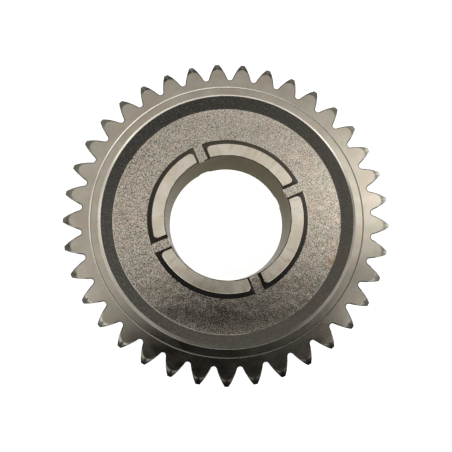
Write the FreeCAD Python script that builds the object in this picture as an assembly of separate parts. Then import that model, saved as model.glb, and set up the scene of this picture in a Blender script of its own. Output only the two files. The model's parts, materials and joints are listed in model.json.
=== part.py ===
import FreeCAD, Part
import math
import os

# Planet gear of a tracked machine's final drive: one forged, turned and hobbed steel piece.
# Millimetres. The origin is on the bore axis at the middle of the width. +Z points to the face
# that carries the first set of pads, and the far side mirrors the near side.

# Teeth
module = 4.0
tooth_count = 37
pressure_angle = 25.0
profile_shift = 0.32
addendum_factor = 1.03
dedendum_factor = 1.21
face_width = 28.8
tooth_clocking = 6.66             # direction of the first tooth, in degrees from +X
tip_bevel_width = 2.8             # how far the turned bevel reaches inwards from the tips
tip_bevel_depth = 1.05            # how far it falls from the face to the tips

# Rim, groove and recessed web, measured inwards from the root circle and down from the face
groove_inset = 4.32
groove_width = 0.7
groove_depth = 0.09
rim_thickness = 8.2
rim_edge_width = 0.9
rim_edge_depth = 0.35
recess_depth = 3.9
recess_wall_run = 4.75            # the recess wall slopes inwards by this much

# Bore
bore_diameter = 62.0
bore_mouth_chamfer = 0.4

# Thrust pads round the bore, with an oil slot between each pair
pad_count = 4
pad_drop = 1.78                   # from the rim face down to the pad tops
pad_width = 6.25                  # from the bore to the outer edge of a pad top
pad_corner_radius = 1.9           # at the top edge, where the corners are rounded most
pad_foot_corner_radius = 0.35
pad_wall_run = 2.6                # the outer wall of a pad spreads by this much down to the web
slot_wall_run = 1.35              # and each wall of a slot by this much
slot_width = 7.3                  # between the top edges of two pads
slot_clocking = 23.2              # direction of the first slot, in degrees from +X

# Worked out from the sizes above
half_width = face_width / 2
pitch_radius = module * tooth_count / 2
base_radius = pitch_radius * math.cos(math.radians(pressure_angle))
tip_radius = pitch_radius + module * (addendum_factor + profile_shift)
root_radius = pitch_radius - module * (dedendum_factor - profile_shift)
groove_radius = root_radius - groove_inset
rim_inner_radius = root_radius - rim_thickness
recess_top_radius = rim_inner_radius - rim_edge_width
web_level = half_width - recess_depth
bore_radius = bore_diameter / 2
pad_level = half_width - pad_drop
pad_outer_radius = bore_radius + pad_width

centre = FreeCAD.Vector(0, 0, 0)
gear_axis = FreeCAD.Vector(0, 0, 1)


def point(radius, angle, height):
    """A point given by its radius, its angle in radians and its height."""
    return FreeCAD.Vector(radius * math.cos(angle), radius * math.sin(angle), height)


def arc(start, middle, end):
    return Part.Arc(start, middle, end).toShape()


def turned(section):
    """The solid that a closed section of (radius, height) corners sweeps round the axis."""
    corners = [FreeCAD.Vector(radius, 0, height) for radius, height in section]
    face = Part.Face(Part.makePolygon(corners + corners[:1]))
    return face.revolve(centre, gear_axis, 360)


def involute(angle):
    return math.tan(angle) - angle


def half_tooth_angle(radius, growth=0.0):
    """Half the angle that a tooth takes up at a radius, with its flanks grown outwards."""
    pressure = math.radians(pressure_angle)
    at_pitch = math.pi / (2 * tooth_count) + 2 * profile_shift * math.tan(pressure) / tooth_count
    at_base = at_pitch + involute(pressure) + growth / base_radius
    return at_base - involute(math.acos(base_radius / radius))


def root_arc_radius():
    """Radius of the arc that rounds a whole root: it touches both flanks and the root circle.

    A tooth grown by that radius reaches the arc's centre, in the middle of the gap, and
    halving an interval finds it.
    """
    low = 0.0
    high = module
    for _ in range(50):
        middle = (low + high) / 2
        if half_tooth_angle(root_radius + middle, middle) < math.pi / tooth_count:
            low = middle
        else:
            high = middle
    return low


def flank_points(tooth_angle, side, height):
    """Foot, middle and tip of an involute flank, on the left or the right of its tooth.

    The flank's normal is the taut string that draws the involute, and the centre of the root
    arc lies on it, which gives the radius where the root arc hands over to the flank.
    """
    root_arc = root_arc_radius()
    string_to_centre = math.sqrt((root_radius + root_arc) ** 2 - base_radius ** 2)
    foot_radius = math.hypot(base_radius, string_to_centre - root_arc)
    radii = [foot_radius, (foot_radius + tip_radius) / 2, tip_radius]
    return [point(r, tooth_angle + side * half_tooth_angle(r), height) for r in radii]


def tooth_outline(height):
    """The closed outline of all the teeth: flank, tip, flank and root, over and over."""
    pitch_angle = 2 * math.pi / tooth_count
    edges = []
    for tooth in range(tooth_count):
        angle = math.radians(tooth_clocking) + tooth * pitch_angle
        right = flank_points(angle, -1, height)
        left = flank_points(angle, 1, height)
        next_right = flank_points(angle + pitch_angle, -1, height)
        root = point(root_radius, angle + pitch_angle / 2, height)
        edges.append(arc(right[0], right[1], right[2]))
        edges.append(arc(right[2], point(tip_radius, angle, height), left[2]))
        edges.append(arc(left[2], left[1], left[0]))
        edges.append(arc(left[0], root, next_right[0]))
    return Part.Wire(edges)


def toothed_bar():
    """A bar with the hobbed teeth, as long as the gear is wide."""
    return Part.Face(tooth_outline(-half_width)).extrude(gear_axis * face_width)


def turned_blank():
    """The forged and turned blank, solid to the axis, the same on both sides."""
    near_side = [
        (0, web_level),
        (recess_top_radius - recess_wall_run, web_level),
        (recess_top_radius, half_width - rim_edge_depth),
        (rim_inner_radius, half_width),
        (groove_radius - groove_width / 2, half_width),
        (groove_radius, half_width - groove_depth),
        (groove_radius + groove_width / 2, half_width),
        (tip_radius - tip_bevel_width, half_width),
        (tip_radius, half_width - tip_bevel_depth),
    ]
    far_side = [(radius, -height) for radius, height in reversed(near_side)]
    return turned(near_side + far_side)


def pad_outline(reach, side, corner, height):
    """The outline of one pad at a height, out to a reach from the axis and with two corners.

    The pad lies between a slot along +X and the next slot, and keeps a distance to the side of
    their middle lines. Its first half is drawn and the other half mirrored about the pad's
    middle direction. Its blunt inner end lies inside the bore, which removes it.
    """
    sector = 2 * math.pi / pad_count
    corner_x = math.sqrt((reach - corner) ** 2 - (side + corner) ** 2)
    corner_y = side + corner
    corner_angle = math.atan2(corner_y, corner_x)
    turn = (corner_angle - math.pi / 2) / 2
    inner_x = bore_radius / 2
    inner_arc = inner_x * math.tan(sector / 2) - side
    inner_reach = inner_x / math.cos(sector / 2) - inner_arc
    half = [
        (inner_x, side),
        (corner_x, side),
        (corner_x + corner * math.cos(turn), corner_y + corner * math.sin(turn)),
        (reach * math.cos(corner_angle), reach * math.sin(corner_angle)),
    ]
    first = [FreeCAD.Vector(x, y, height) for x, y in half]
    last = [point(math.hypot(x, y), sector - math.atan2(y, x), height) for x, y in half]
    return Part.Wire([
        Part.makeLine(first[0], first[1]),
        arc(first[1], first[2], first[3]),
        arc(first[3], point(reach, sector / 2, height), last[3]),
        arc(last[3], last[2], last[1]),
        Part.makeLine(last[1], last[0]),
        arc(last[0], point(inner_reach, sector / 2, height), first[0]),
    ])


def near_pads():
    """The forged pads of the near side: sloping walls between a wide foot and the top edge."""
    foot_reach = pad_outer_radius + pad_wall_run
    foot_side = slot_width / 2 - slot_wall_run
    foot = pad_outline(foot_reach, foot_side, pad_foot_corner_radius, web_level)
    top = pad_outline(pad_outer_radius, slot_width / 2, pad_corner_radius, pad_level)
    pad = Part.makeLoft([foot, top], True, True)
    pads = []
    for index in range(pad_count):
        turn = slot_clocking + index * 360 / pad_count
        pads.append(pad.rotated(centre, gear_axis, turn))
    return pads


def bore_cutter():
    """The bore and the chamfers at its two mouths, as one turned tool."""
    mouth_radius = bore_radius + bore_mouth_chamfer
    near_side = [
        (0, half_width),
        (mouth_radius, half_width),
        (mouth_radius, pad_level),
        (bore_radius, pad_level - bore_mouth_chamfer),
    ]
    far_side = [(radius, -height) for radius, height in reversed(near_side)]
    return turned(near_side + far_side)


pads = near_pads()
pads += [pad.mirror(centre, gear_axis) for pad in pads]
gear = toothed_bar().common(turned_blank())
gear = gear.fuse(pads)
gear = gear.cut(bore_cutter())

os.makedirs("parts", exist_ok=True)
gear.exportStep("parts/final_drive_gear.step")
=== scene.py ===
import json
import math
import random

import bpy
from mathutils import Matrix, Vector, noise
from mathutils.geometry import delaunay_2d_cdt


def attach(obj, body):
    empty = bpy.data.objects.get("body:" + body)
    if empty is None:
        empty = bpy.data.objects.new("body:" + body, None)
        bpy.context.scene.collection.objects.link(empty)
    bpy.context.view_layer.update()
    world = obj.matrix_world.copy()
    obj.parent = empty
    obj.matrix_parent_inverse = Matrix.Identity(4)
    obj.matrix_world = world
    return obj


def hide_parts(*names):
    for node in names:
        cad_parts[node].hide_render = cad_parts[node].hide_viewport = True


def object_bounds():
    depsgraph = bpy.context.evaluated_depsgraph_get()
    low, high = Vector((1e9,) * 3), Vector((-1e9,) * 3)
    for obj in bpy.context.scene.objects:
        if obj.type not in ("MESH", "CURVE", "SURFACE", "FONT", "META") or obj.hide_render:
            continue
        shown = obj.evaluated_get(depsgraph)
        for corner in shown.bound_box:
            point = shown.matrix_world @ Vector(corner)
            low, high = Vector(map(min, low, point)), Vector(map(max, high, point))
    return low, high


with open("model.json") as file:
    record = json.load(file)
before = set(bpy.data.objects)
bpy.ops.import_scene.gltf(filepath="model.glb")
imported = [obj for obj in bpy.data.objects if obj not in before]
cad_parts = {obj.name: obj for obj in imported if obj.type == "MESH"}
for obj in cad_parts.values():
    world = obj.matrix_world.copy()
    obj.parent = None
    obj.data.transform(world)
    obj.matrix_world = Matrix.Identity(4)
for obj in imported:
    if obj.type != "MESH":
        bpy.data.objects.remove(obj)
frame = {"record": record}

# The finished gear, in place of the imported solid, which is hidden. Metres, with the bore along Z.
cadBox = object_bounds()
mm = 0.001
nodeName = "final_drive_gear"
mounts = {mount["name"]: mount for mount in frame["record"]["mounts"]}
halfWidth = cadBox[1].z
boreRadius = mounts["bore"]["dims"]["r_mm"] * mm
padLevel = mounts["near_pads"]["pos_m"][2]


# Plane geometry

def polar(radius, angle):
    return Vector((radius * math.cos(angle), radius * math.sin(angle)))


def swung(point, angle):
    # a point swung round the bore axis
    c, s = math.cos(angle), math.sin(angle)
    return Vector((point.x * c - point.y * s, point.x * s + point.y * c))


def bezier(start, control, end, steps):
    # the points after the start of a curve that leaves and arrives along its control point
    return [
        start * (1 - t) ** 2 + control * 2 * t * (1 - t) + end * t ** 2
        for t in (step / steps for step in range(1, steps + 1))
    ]


# Teeth

teeth = {
    "count": 37,
    "module": 4.0 * mm,
    "pressureAngle": 25.0,
    "profileShift": 0.32,
    "tipFactor": 1.03,
    "rootFactor": 1.21,
    "clocking": 6.66,            # degrees from +X to the middle of the first tooth
    "tipRounding": 0.1 * mm,
    "edgeBreak": 0.5 * mm,       # width of the broken edge along the flanks and roots
    "outlineFall": 0.6,          # how far the broken edge falls, as a share of its width
    # two lines on the broken edge: (share of its width in from the flank, share that it has fallen)
    "halfway": (0.3, 0.1),
    "nearly": (0.42, 0.05),
    "bevelWidth": 3.1 * mm,
    "bevelDepth": 1.05 * mm,
    "crestClear": 0.05,          # least share of the way from the flat face to the start of the bevel
    "archStart": 5.6 * mm,       # how far inside the tips the rounded end of a tooth face begins
    "archFlatness": 0.3,
    "rootSteps": 4,
    "flankSteps": 8,
    "cornerSteps": 2,
    "tipSteps": 2,
}
pitchRadius = teeth["module"] * teeth["count"] / 2
pressure = math.radians(teeth["pressureAngle"])
baseRadius = pitchRadius * math.cos(pressure)
tipRadius = pitchRadius + teeth["module"] * (teeth["tipFactor"] + teeth["profileShift"])
rootRadius = pitchRadius - teeth["module"] * (teeth["rootFactor"] - teeth["profileShift"])
bevelStart = tipRadius - teeth["bevelWidth"]
toothStep = 2 * math.pi / teeth["count"]
firstTooth = math.radians(teeth["clocking"])


def involute(angle):
    return math.tan(angle) - angle


def halfToothAngle(radius, growth=0.0):
    # half the angle that a tooth takes up at a radius, with its flanks grown outwards
    shifted = 2 * teeth["profileShift"] * math.tan(pressure) / teeth["count"]
    atPitch = math.pi / (2 * teeth["count"]) + shifted
    atBase = atPitch + involute(pressure) + growth / baseRadius
    return atBase - involute(math.acos(baseRadius / radius))


def rootRounding():
    # radius of the arc that touches both flanks and the root circle, found by halving an interval
    low, high = 0.0, teeth["module"]
    for _ in range(50):
        middle = (low + high) / 2
        if halfToothAngle(rootRadius + middle, middle) < toothStep / 2:
            low = middle
        else:
            high = middle
    return low


def halfToothOutline():
    # from the middle of the tip down one flank to the middle of the root, with the tooth along +X
    cornerRadius = tipRadius - teeth["tipRounding"]
    cornerAngle = halfToothAngle(tipRadius)
    landAngle = cornerAngle - teeth["tipRounding"] / tipRadius
    steps = teeth["tipSteps"]
    points = [polar(tipRadius, landAngle * step / steps) for step in range(steps + 1)]
    upper = polar(cornerRadius, halfToothAngle(cornerRadius))
    points += bezier(points[-1], polar(tipRadius, cornerAngle), upper, teeth["cornerSteps"])

    # the flank, down to where the root arc takes over
    rounding = rootRounding()
    string = math.sqrt((rootRadius + rounding) ** 2 - baseRadius ** 2)
    footRadius = math.hypot(baseRadius, string - rounding)
    for step in range(1, teeth["flankSteps"] + 1):
        radius = cornerRadius + (footRadius - cornerRadius) * step / teeth["flankSteps"]
        points.append(polar(radius, halfToothAngle(radius)))

    centre = polar(rootRadius + rounding, toothStep / 2)
    spoke = points[-1] - centre
    start = math.atan2(spoke.y, spoke.x)
    end = toothStep / 2 + math.pi
    turn = (end - start + math.pi) % (2 * math.pi) - math.pi
    for step in range(1, teeth["rootSteps"] + 1):
        points.append(centre + polar(rounding, start + turn * step / teeth["rootSteps"]))
    return points


def insetHalf(points, inset):
    # the same half outline moved into the steel
    middle = polar(1, toothStep / 2)
    before = Vector((points[1].x, -points[1].y))
    after = middle * 2 * points[-2].dot(middle) - points[-2]
    padded = [before] + points + [after]
    moved = []
    for index, point in enumerate(points):
        run = padded[index + 2] - padded[index]
        moved.append(point + Vector((-run.y, run.x)).normalized() * inset)
    return moved


def bevelCrest(inner, outer):
    # where the line from the flat face to the broken edge meets the start of the bevel, or its middle
    if outer.length <= bevelStart:
        return inner.lerp(outer, 0.5)
    run = outer - inner
    square, ahead = run.dot(run), inner.dot(run)
    short = inner.dot(inner) - bevelStart ** 2
    way = (math.sqrt(max(0, ahead * ahead - square * short)) - ahead) / square
    return inner.lerp(outer, max(teeth["crestClear"], way))


def toothLines():
    # round the gear: flat face, start of the bevel, two lines on the broken edge, and the outline
    outline = halfToothOutline()
    halfway = insetHalf(outline, teeth["edgeBreak"] * teeth["halfway"][0])
    nearly = insetHalf(outline, teeth["edgeBreak"] * teeth["nearly"][0])
    face = insetHalf(outline, teeth["edgeBreak"])
    apex = Vector((bevelStart, 0))
    split = next(i for i, p in enumerate(outline) if p.length < tipRadius - teeth["archStart"])
    slope = face[split + 1] - face[split]
    corner = face[split] + slope * (apex.x - face[split].x) / slope.x
    corner = corner.lerp((face[split] + apex) / 2, teeth["archFlatness"])
    face = bezier(face[split], corner, apex, split)[::-1] + face[split:]
    crest = [bevelCrest(inner, outer) for inner, outer in zip(face, nearly)]
    lines = []
    for half in (face, crest, nearly, halfway, outline):
        tooth = [Vector((p.x, -p.y)) for p in half][:0:-1] + half[:-1]
        turns = [firstTooth + index * toothStep for index in range(teeth["count"])]
        lines.append([swung(p, turn) for turn in turns for p in tooth])
    return lines


def edgeLevel(point, fall):
    # the broken edge falls by a share of its width, and the turned bevel adds to it towards the tips
    bevel = (point.length - tipRadius + teeth["bevelWidth"]) / teeth["bevelWidth"]
    return halfWidth - math.hypot(teeth["edgeBreak"] * fall, teeth["bevelDepth"] * max(0, bevel))


# Rim, groove and the wall of the recess

rim = {
    "thickness": 8.2 * mm,       # from the root circle in to the turned inner edge
    "edgeWidth": 0.9 * mm,
    "recessDepth": 3.9 * mm,
    "wallRun": 4.75 * mm,
    "wallSteps": 7,
    "wallWaves": [(0.06 * mm, 3.0 * mm)],     # (height, length) of the forging's unevenness
    "footFillet": 0.13 * mm,
    "footSteps": 3,
    "footHighlightTowards": 215.0,        # degrees from +X to the side where the foot is given the bright worn finish, a painted highlight
    "footHighlightReach": 0.42,           # cosine of how far round from there it still is
    # the turned chamfer: how far its outer end lies beyond the inner edge of the rim, its slope, and
    # how far from that end it meets the forged wall, which wanders in and out round the gear
    "chamferOut": 0.36 * mm,
    "chamferSlope": 0.5,
    "chamferRun": 0.96 * mm,
    "forgedShift": 0.36 * mm,
    "shiftTowards": 75.0,        # degrees from +X to where the chamfer is narrowest
    "wallRounding": 0.08 * mm,   # on both sides of the corner between wall and chamfer
    # how the chamfer rounds over into the rim: where it ends, a lifted middle point, the first flat one
    "rounderIn": 0.12 * mm,
    "rounderMiddle": (0.06 * mm, 0.012 * mm),
    "rounderOut": 0.03 * mm,
    "grooveInset": 4.32 * mm,    # from the root circle in to the groove
    # millimetres out from the groove's radius and down: a short inner wall, a long shining outer one
    "grooveShape": [
        (-0.16, 0), (0.08, 0.25), (0.15, 0.29), (0.20, 0.285),
        (0.25, 0.262), (0.64, 0.04), (0.69, 0.015), (0.74, 0),
    ],
    "grooveFloor": 0.2,          # where the outer wall starts
    "grooveTaper": 0.27,         # the outer wall is narrower by up to twice this share
    "grooveTowards": 135.0,      # degrees from +X to where it is widest
}
webLevel = halfWidth - rim["recessDepth"]
grooveRadius = rootRadius - rim["grooveInset"]
rimRadius = rootRadius - rim["thickness"]
wallFoot = Vector((rimRadius - rim["edgeWidth"] - rim["wallRun"], webLevel))
webRadius = (wallFoot - Vector((rim["footFillet"], 0))).x
grooveFinishes = ["brokenEdge", "brokenEdge"] + ["wornEdge"] * 5 + ["turnedFace"]


def rimSection(angle):
    # (radius and height, finish of the strip that starts there) from the web out to the tooth faces
    outer = rimRadius + rim["chamferOut"]
    shift = rim["forgedShift"] * math.cos(angle - math.radians(rim["shiftTowards"]))

    def chamfer(inwards):
        return Vector((outer - inwards, halfWidth - inwards * rim["chamferSlope"]))

    wallTop = chamfer(rim["chamferRun"] - shift)
    up = (wallTop - wallFoot).normalized()
    footStart = wallFoot - Vector((rim["footFillet"], 0))
    footEnd = wallFoot + up * rim["footFillet"]
    wallEnd = wallTop - up * rim["wallRounding"]

    # painted highlight: only on that side does the foot take the bright worn finish
    shining = math.cos(angle - math.radians(rim["footHighlightTowards"])) > rim["footHighlightReach"]
    foot = "wornEdge" if shining else "forgedWall"
    fillet = bezier(footStart, wallFoot, footEnd, rim["footSteps"])
    section = [(footStart, foot)]
    section += zip(fillet, [foot] + ["forgedWall"] * (rim["footSteps"] - 1))
    steps = rim["wallSteps"]
    section += [(footEnd.lerp(wallEnd, step / steps), "forgedWall") for step in range(1, steps)]

    middleIn, middleUp = rim["rounderMiddle"]
    section += [
        (wallEnd, "wornEdge"),
        (chamfer(rim["chamferRun"] - shift - rim["wallRounding"]), "wornEdge"),
        (chamfer(rim["rounderIn"]), "wornEdge"),
        (chamfer(middleIn) + Vector((0, middleUp)), "wornEdge"),
        (Vector((outer + rim["rounderOut"], halfWidth)), "turnedFace"),
    ]

    away = math.cos(angle - math.radians(rim["grooveTowards"]))
    start = rim["grooveFloor"]
    for (out, depth), name in zip(rim["grooveShape"], grooveFinishes):
        if out > start:
            out = start + (out - start) * (1 - rim["grooveTaper"] * (1 - away))
        section.append((Vector((grooveRadius + out * mm, halfWidth - depth * mm)), name))
    return section


# Thrust pads

pads = {
    "count": 4,
    "width": 6.25 * mm,
    "cornerRadius": 1.9 * mm,
    "slotWidth": 7.3 * mm,       # between the top edges
    "slotClocking": 23.2,        # degrees from +X to the first slot
    "footOut": 2.6 * mm,         # how far the outer wall spreads down to the web
    "footSide": 1.35 * mm,       # how far the slot walls spread
    "footCorner": 0.35 * mm,
    # share of the spread against share of the height, from the web up and round the top edge
    "profile": [
        (-0.06, 0), (-0.01, 0.004), (0.05, 0.045), (0.40, 0.39),
        (0.66, 0.65), (0.88, 0.87), (0.95, 0.95), (1.01, 0.99), (1.08, 1),
    ],
    "webShare": 0.01,            # up to this share of the height the surface is still the web's
    "mouthChamfer": 0.4 * mm,
    "slotChamfer": 0.35,         # share of that chamfer on the slot floors
    "boreMargin": 0.995,         # share of the mouth's radius within which a triangle spans the bore
    "sideSteps": 6,
    "cornerSteps": 7,
    "arcSteps": 16,
    "mouthSteps": 26,            # round the inner arc of a pad
    "slotSteps": 5,
}
padSector = 2 * math.pi / pads["count"]
padRadius = boreRadius + pads["width"]
mouthRadius = boreRadius + pads["mouthChamfer"]
firstSlot = math.radians(pads["slotClocking"])
footReach = padRadius + pads["footOut"]
footAside = pads["slotWidth"] / 2 - pads["footSide"]


def padOutline(reach, side, corner):
    # one pad from the bore mouth round to the bore mouth, with the slot before it along +X
    centre = Vector((math.sqrt((reach - corner) ** 2 - (side + corner) ** 2), side + corner))
    leave = math.atan2(centre.y, centre.x)
    half = []
    mouth = Vector((math.sqrt(mouthRadius ** 2 - side ** 2), side))
    for step in range(pads["sideSteps"]):
        half.append(mouth.lerp(Vector((centre.x, side)), step / pads["sideSteps"]))
    for step in range(pads["cornerSteps"]):
        turn = -math.pi / 2 + (leave + math.pi / 2) * step / pads["cornerSteps"]
        half.append(centre + polar(corner, turn))
    for step in range(pads["arcSteps"] + 1):
        half.append(polar(reach, leave + (padSector / 2 - leave) * step / pads["arcSteps"]))
    other = [polar(p.length, padSector - math.atan2(p.y, p.x)) for p in half[-2::-1]]
    return half + other


def padLoops():
    # the outlines from the web to the top edge as (share of the height, points)
    foot = padOutline(footReach, footAside, pads["footCorner"])
    top = padOutline(padRadius, pads["slotWidth"] / 2, pads["cornerRadius"])
    loops = []
    for spread, rise in pads["profile"]:
        points = [low.lerp(high, spread) for low, high in zip(foot, top)]
        for end in (0, -1):
            points[end] = points[end].normalized() * mouthRadius
        loops.append((rise, points))
    return loops


def mouthPoints(loops):
    # (angle, share of the pads' height) round the mouth of the bore: walls, inner arcs and slot floors
    starts = [(math.atan2(points[0].y, points[0].x), rise) for rise, points in loops]
    ends = [(math.atan2(points[-1].y, points[-1].x), rise) for rise, points in loops[::-1]]
    first, last = starts[-1][0], ends[0][0]
    steps = pads["mouthSteps"]
    arc = [(first + (last - first) * step / steps, 1) for step in range(1, steps)]
    gap = padSector - ends[-1][0] + starts[0][0]
    steps = pads["slotSteps"]
    slot = [(ends[-1][0] + gap * step / steps, 0) for step in range(1, steps)]
    mouth = []
    for pad in range(pads["count"]):
        base = firstSlot + pad * padSector
        mouth += [(base + angle, rise) for angle, rise in starts + arc + ends + slot]
    return mouth


# Web

web = {
    "seed": 37,
    "spacing": 0.85 * mm,
    "rowSpacing": 0.87,          # share of the spacing between rows
    "scatter": 0.2,
    "wallClear": 0.6,            # shares of the spacing that points keep from the wall and the pads
    "padClear": 0.55,
    "waves": [(0.05 * mm, 7.0 * mm), (0.035 * mm, 2.6 * mm)],    # (height, length), as on the wall
    "waveSlice": 3.0 * mm,       # height at which the waves are cut from their noise
    "fade": 1.2 * mm,            # how near to an edge the web is still even
    "merge": 1e-5,               # millimetres within which two points are one
}


def unevenness(point, waves):
    place = Vector((point.x, point.y, web["waveSlice"]))
    return sum(height * noise.noise(place / length) for height, length in waves)


def webPoints():
    # loose points over the web and the slot floors, clear of every edge
    random.seed(web["seed"])
    spacing, scatter = web["spacing"], web["scatter"]
    outer = webRadius - spacing * web["wallClear"]
    clear = spacing * web["padClear"]
    rows = int(outer / spacing) + 1
    points = []
    for row in range(-rows, rows + 1):
        for column in range(-rows, rows + 1):
            x = (column + 0.5 * (row % 2)) * spacing + random.uniform(-scatter, scatter) * spacing
            y = row * spacing * web["rowSpacing"] + random.uniform(-scatter, scatter) * spacing
            radius = math.hypot(x, y)
            if not mouthRadius + clear < radius < outer:
                continue
            fromSlot = (math.atan2(y, x) - firstSlot + padSector / 2) % padSector
            aside = abs(radius * math.sin(fromSlot - padSector / 2))
            if radius > footReach + clear or aside < footAside - clear:
                points.append(Vector((x, y)))
    return points


class WebPlan:
    # the web and the pads seen along the bore: points, and the lines that their triangles keep to

    def __init__(self):
        self.points = []
        self.shares = []         # of the pads' height
        self.heights = []
        self.edges = []

    def add(self, point, share, lift=0.0):
        self.points.append(point)
        self.shares.append(share)
        self.heights.append(webLevel + share * (padLevel - webLevel) + lift)
        return len(self.points) - 1

    def join(self, chain):
        self.edges.extend(zip(chain, chain[1:]))


def planWeb(circle, mouth, loops):
    plan = WebPlan()
    foot = [plan.add(polar(webRadius, angle), 0) for angle in circle]
    plan.join(foot + foot[:1])
    rimOfBore = [plan.add(polar(mouthRadius, angle), share) for angle, share in mouth]
    plan.join(rimOfBore + rimOfBore[:1])

    # the lines of a pad's wall end on points of the mouth that are already there
    perPad = len(mouth) // pads["count"]
    for pad in range(pads["count"]):
        first = rimOfBore[pad * perPad]
        last = first + 2 * len(loops) + pads["mouthSteps"] - 2
        turn = firstSlot + pad * padSector
        for level, (share, line) in enumerate(loops):
            between = [plan.add(swung(p, turn), share) for p in line[1:-1]]
            plan.join([first + level] + between + [last - level])

    for p in webPoints():
        fade = min(1, (webRadius - p.length) / web["fade"], (p.length - mouthRadius) / web["fade"])
        plan.add(p, 0, unevenness(p, web["waves"]) * fade)
    return plan, foot, rimOfBore


# The whole gear

sharpFrom = 26.0                 # degrees between two faces from which their edge is sharp


class GearMesh:
    # vertices, faces and a finish for each face, filled side by side and turned into one mesh

    def __init__(self):
        self.verts = []
        self.faces = []
        self.finish = []
        self.smooth = []

    def ring(self, points, heights):
        start = len(self.verts)
        self.verts += [(p.x, p.y, z) for p, z in zip(points, heights)]
        return list(range(start, len(self.verts)))

    def add(self, corners, finish, smooth=True):
        self.faces.append(tuple(corners))
        self.finish.append(finishIndex[finish])
        self.smooth.append(smooth)

    def strip(self, inner, outer, finish, smooth=True):
        # quads between two rings, facing up where the inner one comes first
        names = finish if isinstance(finish, list) else [finish] * len(inner)
        for index, name in enumerate(names):
            after = (index + 1) % len(inner)
            self.add((inner[index], outer[index], outer[after], inner[after]), name, smooth)


def webSurface(mesh, side, circle):
    # web, pads and slots; gives the foot of the recess wall and the edge of the bore
    loops = padLoops()
    mouth = mouthPoints(loops)
    plan, foot, rimOfBore = planWeb(circle, mouth, loops)
    flat = delaunay_2d_cdt([p / mm for p in plan.points], plan.edges, [], 0, web["merge"])
    triangles, source = flat[2], [origins[0] for origins in flat[3]]
    placed = mesh.ring([plan.points[i] for i in source], [plan.heights[i] * side for i in source])
    place = dict(zip(source, placed))

    onMouth = set(rimOfBore)
    padTop = pads["profile"][-2][1]
    for corners in triangles:
        planned = [source[i] for i in corners]
        shares = [plan.shares[i] for i in planned]
        if onMouth.issuperset(planned):
            middle = sum((plan.points[i] for i in planned), Vector((0, 0))) / 3
            if middle.length < mouthRadius * pads["boreMargin"] or max(shares) == 0:
                continue
        if min(shares) >= padTop:
            name = "groundPad"
        elif max(shares) < pads["webShare"]:
            name = "blastedWeb"
        else:
            name = "padSide"
        mesh.add([placed[i] for i in corners], name, min(shares) < 1)

    # chamfer at the mouth: full on the pads, slight on the slot floors
    levels = []
    for _, share in mouth:
        chamfer = pads["mouthChamfer"] * (pads["slotChamfer"] + (1 - pads["slotChamfer"]) * share)
        levels.append((webLevel + share * (padLevel - webLevel) - chamfer) * side)
    bore = mesh.ring([polar(boreRadius, angle) for angle, _ in mouth], levels)
    names = ["padSide" if share > 0 else "blastedWeb" for _, share in mouth]
    mesh.strip(bore, [place[i] for i in rimOfBore], names)
    return [place[i] for i in foot], bore


def rimSurface(mesh, side, circle, ring):
    # recess wall, chamfer, rim and groove, outwards from the foot of the wall; the wall is uneven
    # except along its foot and its top
    sections = [rimSection(angle) for angle in circle]
    uneven = range(rim["footSteps"] + 2, rim["footSteps"] + rim["wallSteps"] - 1)
    for index in range(1, len(sections[0])):
        corners = [section[index][0] for section in sections]
        line = [polar(corner.x, angle) for corner, angle in zip(corners, circle)]
        levels = [corner.y for corner in corners]
        if index in uneven:
            levels = [z + unevenness(p, rim["wallWaves"]) for z, p in zip(levels, line)]
        after = mesh.ring(line, [z * side for z in levels])
        names = [section[index - 1][1] for section in sections]
        sloping = sections[0][index - 1][0].y != corners[0].y
        mesh.strip(ring, after, names, sloping)
        ring = after
    return ring


def toothSurface(mesh, side, lines, ring):
    # flat tooth faces, bevels and broken edges, out to the outline
    face, crest, nearly, halfway, outline = lines
    after = mesh.ring(face, [halfWidth * side] * len(face))
    mesh.strip(ring, after, "turnedFace", False)
    ring = after
    arched = tipRadius - teeth["archStart"]
    bevelled = ["tipBevel" if p.length > arched else "brokenEdge" for p in outline]
    rings = [
        (crest, 0, bevelled),
        (nearly, teeth["nearly"][1], bevelled),
        (halfway, teeth["halfway"][1], bevelled),
        (outline, teeth["outlineFall"], "brokenEdge"),
    ]
    for line, fall, names in rings:
        after = mesh.ring(line, [edgeLevel(p, fall) * side for p in line])
        mesh.strip(ring, after, names)
        ring = after
    return ring


def sideSurface(mesh, side):
    # one side of the gear, from its bore to its teeth; side is 1 for near and -1 for far
    lines = toothLines()
    count = len(lines[0])
    circle = [firstTooth - toothStep / 2 + 2 * math.pi * i / count for i in range(count)]
    faces = len(mesh.faces)
    foot, bore = webSurface(mesh, side, circle)
    ring = rimSurface(mesh, side, circle, foot)
    outline = toothSurface(mesh, side, lines, ring)
    if side < 0:
        for index in range(faces, len(mesh.faces)):
            mesh.faces[index] = mesh.faces[index][::-1]
    return bore, outline


def buildGear():
    mesh = GearMesh()
    nearBore, nearTeeth = sideSurface(mesh, 1)
    farBore, farTeeth = sideSurface(mesh, -1)
    mesh.strip(nearTeeth, farTeeth, "toothFlank")
    mesh.strip(farBore, nearBore, "boreWall")

    data = bpy.data.meshes.new("gearSteel")
    data.from_pydata(mesh.verts, [], mesh.faces)
    data.polygons.foreach_set("material_index", mesh.finish)
    data.validate()
    data.set_sharp_from_angle(angle=math.radians(sharpFrom))
    data.polygons.foreach_set("use_smooth", mesh.smooth)
    gear = bpy.data.objects.new("gearSteel", data)
    bpy.context.scene.collection.objects.link(gear)
    return gear


# Helpers for the finishes, which measure in millimetres

def addNode(tree, kind, inputs=None, **fields):
    # a node with its fields set, and each input either linked or given a value
    node = tree.nodes.new(kind)
    for name, value in fields.items():
        setattr(node, name, value)
    for name, value in (inputs or {}).items():
        if isinstance(value, bpy.types.NodeSocket):
            tree.links.new(value, node.inputs[name])
        else:
            node.inputs[name].default_value = value
    return node


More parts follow.
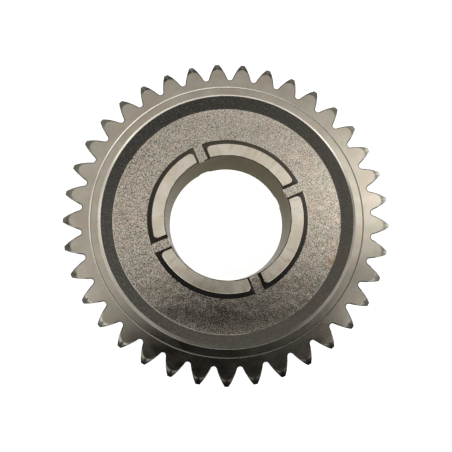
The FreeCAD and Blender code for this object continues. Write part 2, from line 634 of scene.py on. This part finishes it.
def newMaterial(name):
    material = bpy.data.materials.new(name)
    material.use_nodes = True
    material.node_tree.nodes.clear()
    return material, material.node_tree


def colour(red, green, blue):
    return (red, green, blue, 1.0)


def reckon(tree, kind, first, second):
    return addNode(tree, "ShaderNodeMath", {0: first, 1: second}, operation=kind).outputs[0]


def spread(tree, value, low, high, toLow, toHigh, smooth=False):
    inputs = {"Value": value, "From Min": low, "From Max": high, "To Min": toLow, "To Max": toHigh}
    kind = "SMOOTHSTEP" if smooth else "LINEAR"
    return addNode(tree, "ShaderNodeMapRange", inputs, interpolation_type=kind).outputs["Result"]


def mixed(tree, share, first, second, blend="MIX"):
    inputs = {0: share, 6: first, 7: second}
    return addNode(tree, "ShaderNodeMix", inputs, data_type="RGBA", blend_type=blend).outputs[2]


def onGear(tree, stretch=(1, 1, 1)):
    # places on the gear in millimetres, stretched along X, Y and Z
    coords = addNode(tree, "ShaderNodeTexCoord").outputs["Object"]
    scale = [factor / mm for factor in stretch]
    return addNode(tree, "ShaderNodeMapping", {"Vector": coords, "Scale": scale}).outputs["Vector"]


def roundGear(tree, alongRing, acrossRing):
    # places as angle, radius and height, so that marks follow the turning
    coords = addNode(tree, "ShaderNodeTexCoord").outputs["Object"]
    parts = addNode(tree, "ShaderNodeSeparateXYZ", {"Vector": coords}).outputs
    angle = reckon(tree, "ARCTAN2", parts["Y"], parts["X"])
    squareX = reckon(tree, "MULTIPLY", parts["X"], parts["X"])
    squareY = reckon(tree, "MULTIPLY", parts["Y"], parts["Y"])
    square = reckon(tree, "ADD", squareX, squareY)
    radius = addNode(tree, "ShaderNodeMath", {0: square}, operation="SQRT").outputs[0]
    inputs = {
        "X": reckon(tree, "MULTIPLY", angle, alongRing),
        "Y": reckon(tree, "MULTIPLY", radius, acrossRing / mm),
        "Z": parts["Z"],
    }
    return addNode(tree, "ShaderNodeCombineXYZ", inputs).outputs["Vector"]


def towards(tree, places, direction):
    # how far a place lies in a direction from the bore axis
    inputs = {0: places, 1: (*direction, 0.0)}
    return addNode(tree, "ShaderNodeVectorMath", inputs, operation="DOT_PRODUCT").outputs["Value"]


def grain(tree, places, size, detail, rough):
    # noise whose blobs are about so large
    inputs = {"Vector": places, "Scale": 0.6 / size, "Detail": detail, "Roughness": rough}
    return addNode(tree, "ShaderNodeTexNoise", inputs).outputs["Fac"]


def twoTone(tree, cloud, finish):
    return mixed(tree, spread(tree, cloud, *finish["edges"], 0, 1), finish["dark"], finish["light"])


def roughened(tree, cloud, finish):
    # nearly all of a noise lies between these two values
    return spread(tree, cloud, 0.3, 0.7, *finish["roughness"])


def bump(tree, height, strength, depth):
    inputs = {"Height": height, "Strength": strength, "Distance": depth}
    return addNode(tree, "ShaderNodeBump", inputs).outputs["Normal"]


def metal(tree, base, roughness, normal=None, metallic=1.0, edge=None, gloss=0.5):
    # metallic is lower where scale lies on the steel, and edge is the colour at a glancing view
    inputs = {"Base Color": base, "Roughness": roughness, "Metallic": metallic}
    inputs["Specular IOR Level"] = gloss
    if edge is not None:
        inputs["Specular Tint"] = edge
    if normal is not None:
        inputs["Normal"] = normal
    shader = addNode(tree, "ShaderNodeBsdfPrincipled", inputs)
    output = addNode(tree, "ShaderNodeOutputMaterial")
    tree.links.new(shader.outputs["BSDF"], output.inputs["Surface"])


# the thin film on bare steel: patches of a pinker and a greener tone
film = {
    "pink": colour(1.03, 0.95, 0.92),
    "pinkEdges": (0.54, 0.68),
    "green": colour(0.93, 0.985, 0.93),
    "greenEdges": (0.46, 0.32),
}


def filmed(tree, base, places, size, amount):
    patches = grain(tree, places, size, 1.0, 0.5)
    pinker = spread(tree, patches, *film["pinkEdges"], 0, amount)
    base = mixed(tree, pinker, base, film["pink"], "MULTIPLY")
    greener = spread(tree, patches, *film["greenEdges"], 0, amount)
    return mixed(tree, greener, base, film["green"], "MULTIPLY")


# Finishes of the gear. Each noise is given as size, detail and roughness, each film as size and
# amount, marks round the bore as fineness along and across the rings, and bumps as strength and
# depth. Edges are the values of a noise between which one tone gives way to the next.

turnedSteel = {
    "light": colour(0.55, 0.495, 0.415),
    "dark": colour(0.46, 0.41, 0.335),
    "cloud": (9.0, 3.0, 0.55),
    "edges": (0.38, 0.62),
    "stain": colour(0.47, 0.415, 0.30),
    "smearRound": (16.0, 0.35),
    "smear": (1.0, 3.0, 0.6),
    "smearEdges": (0.5, 0.75),
    "smearShare": 0.6,
    "ringsRound": (1.5, 6.0),
    "rings": (1.0, 2.0, 0.6),
    "film": (4.0, 0.6),
    "roughness": (0.10, 0.15),
    "bump": (0.08, 0.02 * mm),
}


def turnedFace():
    material, tree = newMaterial("turnedFace")
    places = onGear(tree)
    cloud = grain(tree, places, *turnedSteel["cloud"])
    smear = grain(tree, roundGear(tree, *turnedSteel["smearRound"]), *turnedSteel["smear"])
    rings = grain(tree, roundGear(tree, *turnedSteel["ringsRound"]), *turnedSteel["rings"])
    stained = spread(tree, smear, *turnedSteel["smearEdges"], 0, turnedSteel["smearShare"])
    base = mixed(tree, stained, twoTone(tree, cloud, turnedSteel), turnedSteel["stain"])
    base = filmed(tree, base, places, *turnedSteel["film"])
    metal(tree, base, roughened(tree, smear, turnedSteel), bump(tree, rings, *turnedSteel["bump"]))
    return material


wornSteel = {
    "light": colour(0.70, 0.65, 0.56),
    "dark": colour(0.60, 0.555, 0.47),
    "cloudRound": (14.0, 0.5),
    "cloud": (1.0, 3.0, 0.6),
    "edges": (0.35, 0.6),
    "roughness": 0.22,
}


def wornEdge():
    # the turned chamfer and the outer wall of the groove, rubbed bright
    material, tree = newMaterial("wornEdge")
    cloud = grain(tree, roundGear(tree, *wornSteel["cloudRound"]), *wornSteel["cloud"])
    metal(tree, twoTone(tree, cloud, wornSteel), wornSteel["roughness"])
    return material


groundSteel = {
    "light": colour(0.76, 0.69, 0.585),
    "dark": colour(0.63, 0.56, 0.45),
    "cloud": (6.0, 3.0, 0.5),
    "edges": (0.36, 0.6),
    "stain": colour(0.56, 0.47, 0.31),
    "marksRound": (22.0, 0.2),
    "marks": (1.0, 2.0, 0.6),
    "marksEdges": (0.55, 0.70),
    "marksShare": 0.7,
    "scratchStretch": (0.3, 5.0, 1),
    "scratch": (1.2, 2.0, 0.6),
    "filmStretch": (1, 1, 0.5),
    "film": (3.5, 0.6),
    "roughness": (0.17, 0.24),
    "bump": (0.06, 0.02 * mm),
}


def groundPad():
    material, tree = newMaterial("groundPad")
    cloud = grain(tree, onGear(tree), *groundSteel["cloud"])
    marks = grain(tree, roundGear(tree, *groundSteel["marksRound"]), *groundSteel["marks"])
    scratch = grain(tree, onGear(tree, groundSteel["scratchStretch"]), *groundSteel["scratch"])
    stained = spread(tree, marks, *groundSteel["marksEdges"], 0, groundSteel["marksShare"])
    base = mixed(tree, stained, twoTone(tree, cloud, groundSteel), groundSteel["stain"])
    base = filmed(tree, base, onGear(tree, groundSteel["filmStretch"]), *groundSteel["film"])
    metal(tree, base, roughened(tree, cloud, groundSteel), bump(tree, scratch, *groundSteel["bump"]))
    return material


blastedSteel = {
    "light": colour(0.76, 0.68, 0.57),
    "dark": colour(0.07, 0.06, 0.045),
    "peened": (0.22, 2.0, 0.6),
    "edges": (0.43, 0.57),
    # painted light: the web's colour is made paler towards +X and +Y
    "paintedLightTowards": (0.57, 0.82),
    "paintedLightFrom": (-5, 50),
    "paintedLightShare": 0.19,
    "tint": (1.6, 2.0, 0.5),
    "patch": (13.0, 2.0, 0.5),
    "warm": colour(0.55, 0.44, 0.345),
    "warmTint": ((0.52, 0.7), 0.4),    # edges on the noise of that name, and the share
    "warmPatch": ((0.5, 0.7), 0.25),
    "cool": colour(0.40, 0.41, 0.35),
    "coolTint": ((0.48, 0.3), 0.4),
    "film": (5.0, 0.55),
    "rust": colour(0.50, 0.26, 0.12),
    "rustPlace": (50.9, -22.2),  # from the bore axis
    "rustReach": (2.4, 0.4),     # where the rust begins and where it is full
    "rustFray": 1.5,
    "rustShare": 0.65,
    "roughness": 0.17,
    "bump": (0.6, 0.03 * mm),
}


def rustSpot(tree, places, tint):
    # share of rust, within a frayed spot on the web
    centre = (*blastedSteel["rustPlace"], webLevel / mm)
    inputs = {0: places, 1: centre}
    away = addNode(tree, "ShaderNodeVectorMath", inputs, operation="DISTANCE").outputs["Value"]
    fray = blastedSteel["rustFray"]
    away = reckon(tree, "ADD", away, spread(tree, tint, 0, 1, -fray, fray))
    return spread(tree, away, *blastedSteel["rustReach"], 0, blastedSteel["rustShare"], True)


def blastedWeb():
    material, tree = newMaterial("blastedWeb")
    places = onGear(tree)

    def washed(base, cloud, edges, most, tone):
        return mixed(tree, spread(tree, cloud, *edges, 0, most), base, blastedSteel[tone])

    peened = grain(tree, places, *blastedSteel["peened"])
    tint = grain(tree, places, *blastedSteel["tint"])
    patch = grain(tree, places, *blastedSteel["patch"])
    # painted light: a share of the pale tone that grows towards +X and +Y
    reach = towards(tree, places, blastedSteel["paintedLightTowards"])
    paintedLight = spread(tree, reach, *blastedSteel["paintedLightFrom"], 0, blastedSteel["paintedLightShare"])
    share = reckon(tree, "ADD", spread(tree, peened, *blastedSteel["edges"], 0, 1), paintedLight)
    base = mixed(tree, share, blastedSteel["dark"], blastedSteel["light"])
    base = washed(base, tint, *blastedSteel["warmTint"], "warm")
    base = washed(base, tint, *blastedSteel["coolTint"], "cool")
    base = washed(base, patch, *blastedSteel["warmPatch"], "warm")
    base = filmed(tree, base, places, *blastedSteel["film"])
    base = mixed(tree, rustSpot(tree, places, tint), base, blastedSteel["rust"])
    metal(tree, base, blastedSteel["roughness"], bump(tree, peened, *blastedSteel["bump"]))
    return material


# the recess wall: dark tones that are partly its forging scale and partly painted shade in the recess,
# with painted light that makes it paler towards +X and -Y
forgedSteel = {
    "light": colour(0.120, 0.110, 0.088),
    "dark": colour(0.030, 0.028, 0.022),
    "peened": (0.45, 2.0, 0.6),
    "edges": (0.45, 0.72),
    # painted light: the tone the wall is mixed towards on its +X, -Y side
    "pale": colour(0.52, 0.46, 0.37),
    "paintedLightTowards": (0.82, -0.57),
    "paintedLightFrom": (-58, 58),
    "paintedLightShare": 0.20,
    "film": (5.0, 1.0),
    "roughness": 0.5,
    "metallic": 0.25,
    "bump": (0.7, 0.12 * mm),
}


def forgedWall():
    material, tree = newMaterial("forgedWall")
    places = onGear(tree)
    peened = grain(tree, places, *forgedSteel["peened"])
    # painted light: paler towards +X and -Y
    reach = towards(tree, places, forgedSteel["paintedLightTowards"])
    paintedLight = spread(tree, reach, *forgedSteel["paintedLightFrom"], 0, forgedSteel["paintedLightShare"])
    base = mixed(tree, paintedLight, twoTone(tree, peened, forgedSteel), forgedSteel["pale"])
    base = filmed(tree, base, places, *forgedSteel["film"])
    normal = bump(tree, peened, *forgedSteel["bump"])
    metal(tree, base, forgedSteel["roughness"], normal, forgedSteel["metallic"])
    return material


padScaleAndShade = {
    # painted light towards +Y and painted shade towards -Y: the walls go from the dark tone to this
    # pale one along Y
    "pale": colour(0.10, 0.084, 0.060),
    "dark": colour(0.004, 0.0035, 0.003),
    "paintedLightTowards": (0, 1),
    "paintedLightFrom": (-32, 34),
    "peened": (0.5, 2.0, 0.6),
    "roughness": 0.6,
    "metallic": 0.25,
    "bump": (0.5, 0.08 * mm),
}


def padSide():
    # the forged walls of the pads and slots: dark scale, with painted light that makes them paler
    # towards +Y and painted shade that makes them darker towards -Y
    material, tree = newMaterial("padSide")
    places = onGear(tree)
    peened = grain(tree, places, *padScaleAndShade["peened"])
    # painted light and painted shade along Y
    reach = towards(tree, places, padScaleAndShade["paintedLightTowards"])
    paintedLight = spread(tree, reach, *padScaleAndShade["paintedLightFrom"], 0, 1)
    base = mixed(tree, paintedLight, padScaleAndShade["dark"], padScaleAndShade["pale"])
    normal = bump(tree, peened, *padScaleAndShade["bump"])
    metal(tree, base, padScaleAndShade["roughness"], normal, padScaleAndShade["metallic"])
    return material


bevelSteel = {
    "light": colour(0.41, 0.39, 0.33),
    "dark": colour(0.29, 0.275, 0.227),
    "cloud": (2.5, 3.0, 0.5),
    "edges": (0.35, 0.65),
    # painted shade: the colour of the lowest tips
    "paintedTipShade": colour(0.09, 0.082, 0.068),
    "shadeFadesTowards": (-0.2, 0.98),
    "shadeFadesFrom": (-74, -44),
    "ringsRound": (1.5, 5.0),
    "rings": (1.0, 2.0, 0.6),
    "roughness": (0.19, 0.27),
    "bump": (0.1, 0.02 * mm),
}


def tipBevel():
    # painted shade: the lower tips take a dark colour, with the bare steel's own tones from there up
    material, tree = newMaterial("tipBevel")
    places = onGear(tree)
    cloud = grain(tree, places, *bevelSteel["cloud"])
    # painted shade: towards -Y the bevel goes over to the dark tip colour
    reach = towards(tree, places, bevelSteel["shadeFadesTowards"])
    clear = spread(tree, reach, *bevelSteel["shadeFadesFrom"], 0, 1)
    base = mixed(tree, clear, bevelSteel["paintedTipShade"], twoTone(tree, cloud, bevelSteel))
    rings = grain(tree, roundGear(tree, *bevelSteel["ringsRound"]), *bevelSteel["rings"])
    metal(tree, base, roughened(tree, cloud, bevelSteel), bump(tree, rings, *bevelSteel["bump"]))
    return material


edgeScaleAndShade = {
    # painted shade: the edges go from this pale tone to the dark one towards -Y
    "pale": colour(0.085, 0.082, 0.070),
    "dark": colour(0.012, 0.0115, 0.0105),
    "cloud": (1.2, 2.0, 0.5),
    "cloudEdges": (0.3, 0.7),
    "cloudLeast": 0.75,
    "paintedLightTowards": (-0.34, 0.94),
    "paintedLightFrom": (-58, -12),
    "roughness": 0.5,
    "metallic": 0.3,
    "gloss": 0.15,
}


def brokenEdge():
    # the brushed edges of the teeth and the floor of the groove, dark, with painted shade that darkens
    # them further towards -Y
    material, tree = newMaterial("brokenEdge")
    places = onGear(tree)
    cloud = grain(tree, places, *edgeScaleAndShade["cloud"])
    # painted shade: darker towards -Y
    reach = towards(tree, places, edgeScaleAndShade["paintedLightTowards"])
    share = spread(tree, reach, *edgeScaleAndShade["paintedLightFrom"], 0, 1, True)
    clouded = spread(tree, cloud, *edgeScaleAndShade["cloudEdges"], edgeScaleAndShade["cloudLeast"], 1.0)
    share = reckon(tree, "MULTIPLY", share, clouded)
    base = mixed(tree, share, edgeScaleAndShade["dark"], edgeScaleAndShade["pale"])
    metal(
        tree, base, edgeScaleAndShade["roughness"],
        metallic=edgeScaleAndShade["metallic"], gloss=edgeScaleAndShade["gloss"],
    )
    return material


flankSteel = {
    "light": colour(0.42, 0.405, 0.37),
    "dark": colour(0.31, 0.30, 0.27),
    "cloud": (5.0, 3.0, 0.5),
    "edges": (0.35, 0.65),
    "hobbedStretch": (1, 1, 0.12),
    "hobbed": (0.5, 2.0, 0.6),
    "roughness": (0.26, 0.36),
    "bump": (0.12, 0.02 * mm),
}


def toothFlank():
    material, tree = newMaterial("toothFlank")
    cloud = grain(tree, onGear(tree), *flankSteel["cloud"])
    hobbed = grain(tree, onGear(tree, flankSteel["hobbedStretch"]), *flankSteel["hobbed"])
    normal = bump(tree, hobbed, *flankSteel["bump"])
    metal(tree, twoTone(tree, cloud, flankSteel), roughened(tree, hobbed, flankSteel), normal)
    return material


# painted shade: the bore's steel is given a very dark colour for the shade in the bore, while its
# glancing edge colour stays pale
shadedBoreSteel = {
    "light": colour(0.084, 0.081, 0.071),
    "dark": colour(0.058, 0.056, 0.049),
    "edge": colour(0.62, 0.58, 0.50),
    "cloud": (8.0, 3.0, 0.5),
    "edges": (0.35, 0.65),
    "honedStretch": (1, 1, 4.0),
    "honed": (1.0, 2.0, 0.6),
    "roughness": (0.2, 0.3),
    "bump": (0.08, 0.02 * mm),
}


def boreWall():
    material, tree = newMaterial("boreWall")
    cloud = grain(tree, onGear(tree), *shadedBoreSteel["cloud"])
    honed = grain(tree, onGear(tree, shadedBoreSteel["honedStretch"]), *shadedBoreSteel["honed"])
    # painted shade: very dark bore steel
    base = twoTone(tree, cloud, shadedBoreSteel)
    normal = bump(tree, honed, *shadedBoreSteel["bump"])
    metal(tree, base, roughened(tree, honed, shadedBoreSteel), normal, edge=shadedBoreSteel["edge"])
    return material


# the finishes in the order of the gear's material slots
finishMakers = {
    "turnedFace": turnedFace,
    "wornEdge": wornEdge,
    "groundPad": groundPad,
    "padSide": padSide,
    "blastedWeb": blastedWeb,
    "forgedWall": forgedWall,
    "tipBevel": tipBevel,
    "brokenEdge": brokenEdge,
    "toothFlank": toothFlank,
    "boreWall": boreWall,
}
finishIndex = {name: index for index, name in enumerate(finishMakers)}

print("building the gear")
gear = buildGear()
for makeFinish in finishMakers.values():
    gear.data.materials.append(makeFinish())
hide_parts(nodeName)
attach(gear, "root")
gear.data.calc_loop_triangles()
print("gear:", len(gear.data.vertices), "vertices,", len(gear.data.loop_triangles), "triangles")


# Floor, light and camera

floor = {
    "flatRadius": 2.6,
    "coveRadius": 0.4,           # round it the floor curves up into a low wall
    "wallHeight": 0.45,
    "steps": 96,
    "coveSteps": 12,
    "paint": colour(0.80, 0.80, 0.80),
    "paleness": 0.80,
}


def floorMesh():
    section = [(floor["flatRadius"], 0.0)]
    for step in range(1, floor["coveSteps"] + 1):
        turn = math.pi / 2 * step / floor["coveSteps"]
        out = floor["flatRadius"] + floor["coveRadius"] * math.sin(turn)
        section.append((out, floor["coveRadius"] * (1 - math.cos(turn))))
    section.append((section[-1][0], floor["wallHeight"]))
    steps = floor["steps"]
    verts, faces = [], [tuple(range(steps))]
    for radius, height in section:
        for step in range(steps):
            p = polar(radius, 2 * math.pi * step / steps)
            verts.append((p.x, p.y, height - halfWidth))
    for level in range(len(section) - 1):
        for step in range(steps):
            first, after = level * steps + step, level * steps + (step + 1) % steps
            faces.append((first, first + steps, after + steps, after))
    data = bpy.data.meshes.new("floor")
    data.from_pydata(verts, [], faces)
    data.polygons.foreach_set("use_smooth", [True] * len(faces))
    return data


def floorPaint():
    # pale paint that takes the gear's shadow, lifted to white where it is seen or mirrored
    material, tree = newMaterial("floorPaint")
    paint = addNode(tree, "ShaderNodeBsdfDiffuse", {"Color": floor["paint"]})
    glow = addNode(tree, "ShaderNodeEmission", {"Strength": floor["paleness"]})
    rays = addNode(tree, "ShaderNodeLightPath").outputs
    seen = reckon(tree, "MAXIMUM", rays["Is Camera Ray"], rays["Is Glossy Ray"])
    seen = reckon(tree, "MAXIMUM", seen, rays["Is Transmission Ray"])
    off = addNode(tree, "ShaderNodeEmission", {"Strength": 0.0})
    pick = addNode(tree, "ShaderNodeMixShader", {0: seen, 1: off.outputs[0], 2: glow.outputs[0]})
    both = addNode(tree, "ShaderNodeAddShader", {0: paint.outputs[0], 1: pick.outputs[0]})
    output = addNode(tree, "ShaderNodeOutputMaterial")
    tree.links.new(both.outputs[0], output.inputs["Surface"])
    return material


def buildFloor():
    data = floorMesh()
    data.materials.append(floorPaint())
    plane = bpy.data.objects.new("floor", data)
    bpy.context.scene.collection.objects.link(plane)


# Directions of the light are slopes along X and Y, seen from the gear, and heights are the Z of a
# direction of length 1.
sky = {
    "dimming": 0.8,
    "level": 0.82,
    "horizon": 0.45,
    "horizonHeights": (0.93, 0.60),  # between which the level gives way to the horizon's
    "lowest": 0.05,              # below this height the slopes stay as they are
    # soft panels overhead
    "panels": {
        "right": {"centre": (0.66, 0.25), "reach": (0.34, 0.17), "strength": 1.9},
        "overhead": {"centre": (-0.10, 0.17), "reach": (0.20, 0.16), "strength": 0.32},
        "rightBack": {"centre": (0.72, 0.60), "reach": (0.18, 0.18), "strength": 0.5},
    },
    # the dark side of the room, a rounded shape that widens towards the horizon
    "shadeCentre": (0.08, -0.35),
    "shadeReach": (0.42, 0.36),
    "shadeWiden": 1.6,
    "shadeEdge": (0.72, 1.30),
    "shadeLevel": 0.01,
    "lowLight": (0.58, 0.42),    # heights between which it gives way to the lit horizon
    # dim patches of the room, low at the back and to the left
    "patches": {
        "back": {"centre": (-0.05, 1.15), "reach": (0.62, 0.52), "level": 0.16},
        "left": {"centre": (-1.0, -0.15), "reach": (0.36, 0.45), "level": 0.3},
        "right": {"centre": (0.50, -0.04), "reach": (0.24, 0.13), "level": 0.61},
    },
    "patchEdge": (0.7, 1.2),
    # the lit front of the room, a horseshoe round the dark middle: distances from its centre
    "frontCentre": (0.01, -0.15),
    "frontReach": (1.0, 0.67),
    "frontInner": (0.30, 0.42),
    "frontOuter": (0.95, 0.75),
    "frontOpening": (0.0, -0.16),
    "frontLevel": 1.8,
    "glow": {"centre": (0.20, -0.09), "reach": (0.11, 0.09), "strength": 0.12},
}


def skyLight(tree, parts):
    # how bright the room is in each direction
    up = reckon(tree, "MAXIMUM", parts["Z"], sky["lowest"])
    slopes = [reckon(tree, "DIVIDE", parts[axis], up) for axis in ("X", "Y")]

    def squares(places, centre, reach):
        away = [
            reckon(tree, "DIVIDE", reckon(tree, "SUBTRACT", place, middle), size)
            for place, middle, size in zip(places, centre, reach)
        ]
        return reckon(tree, "ADD", *[reckon(tree, "MULTIPLY", part, part) for part in away])

    def distance(places, centre, reach):
        return reckon(tree, "POWER", squares(places, centre, reach), 0.5)

    def softPanel(panel):
        away = squares(slopes, panel["centre"], panel["reach"])
        glow = reckon(tree, "POWER", math.e, reckon(tree, "MULTIPLY", away, -1.0))
        return reckon(tree, "MULTIPLY", glow, panel["strength"])

    light = spread(tree, parts["Z"], *sky["horizonHeights"], sky["level"], sky["horizon"])
    for panel in sky["panels"].values():
        light = reckon(tree, "ADD", light, softPanel(panel))

    middle = sky["shadeCentre"][1]
    below = reckon(tree, "MAXIMUM", reckon(tree, "SUBTRACT", middle, slopes[1]), 0.0)
    widened = reckon(tree, "MULTIPLY", below, sky["shadeWiden"])
    reach = (reckon(tree, "ADD", widened, sky["shadeReach"][0]), sky["shadeReach"][1])
    above = reckon(tree, "MAXIMUM", slopes[1], middle)
    away = distance((slopes[0], above), sky["shadeCentre"], reach)
    shade = spread(tree, away, *sky["shadeEdge"], sky["shadeLevel"], 1, True)
    shade = reckon(tree, "MAXIMUM", shade, spread(tree, parts["Z"], *sky["lowLight"], 0, 1, True))
    light = reckon(tree, "MULTIPLY", light, shade)

    for patch in sky["patches"].values():
        away = distance(slopes, patch["centre"], patch["reach"])
        dim = spread(tree, away, *sky["patchEdge"], patch["level"], 1, True)
        light = reckon(tree, "MULTIPLY", light, dim)

    away = distance(slopes, sky["frontCentre"], sky["frontReach"])
    front = spread(tree, away, *sky["frontInner"], 0, sky["frontLevel"], True)
    for value, edges in ((away, "frontOuter"), (slopes[1], "frontOpening")):
        front = reckon(tree, "MULTIPLY", front, spread(tree, value, *sky[edges], 0, 1, True))
    light = reckon(tree, "ADD", light, front)
    light = reckon(tree, "ADD", light, softPanel(sky["glow"]))
    return reckon(tree, "MULTIPLY", light, sky["dimming"])


def buildWorld():
    world = bpy.data.worlds.new("studio")
    bpy.context.scene.world = world
    world.use_nodes = True
    tree = world.node_tree
    tree.nodes.clear()
    direction = addNode(tree, "ShaderNodeTexCoord").outputs["Generated"]
    parts = addNode(tree, "ShaderNodeSeparateXYZ", {"Vector": direction}).outputs

    # above the floor's low wall the camera sees plain white
    seen = addNode(tree, "ShaderNodeLightPath").outputs["Is Camera Ray"]
    light = addNode(tree, "ShaderNodeMix", {0: seen, 2: skyLight(tree, parts), 3: 1.0}).outputs[0]
    inputs = {"Color": colour(1, 1, 1), "Strength": light}
    background = addNode(tree, "ShaderNodeBackground", inputs)
    output = addNode(tree, "ShaderNodeOutputWorld")
    tree.links.new(background.outputs[0], output.inputs["Surface"])


lamps = {
    "rightSoftbox": {"place": (1.08, 0.32, 0.36), "size": (0.9, 0.6), "power": 2.9},
}


def buildLamps():
    for name, settings in lamps.items():
        data = bpy.data.lights.new(name, "AREA")
        data.shape = "RECTANGLE"
        data.size, data.size_y = settings["size"]
        data.energy = settings["power"]
        lamp = bpy.data.objects.new(name, data)
        lamp.location = settings["place"]
        lamp.rotation_euler = Vector(settings["place"]).to_track_quat("Z", "Y").to_euler()
        bpy.context.scene.collection.objects.link(lamp)


camera = {
    "place": (-8.73 * mm, -31.19 * mm, halfWidth + 185.7 * mm),
    "turn": (8.054, -2.319, 0.0),    # degrees about X, Y and Z
    "lens": 30.94,
    "sensor": 36.0,
    "near": 0.01,
    "far": 20.0,
}


def buildCamera():
    data = bpy.data.cameras.new("photoView")
    data.lens = camera["lens"]
    data.sensor_width = camera["sensor"]
    data.clip_start = camera["near"]
    data.clip_end = camera["far"]
    view = bpy.data.objects.new("photoView", data)
    view.location = camera["place"]
    view.rotation_euler = [math.radians(angle) for angle in camera["turn"]]
    bpy.context.scene.collection.objects.link(view)
    bpy.context.scene.camera = view


print("setting the stage")
buildFloor()
buildWorld()
buildLamps()
buildCamera()
bpy.context.scene.view_settings.view_transform = "Standard"

print("done")
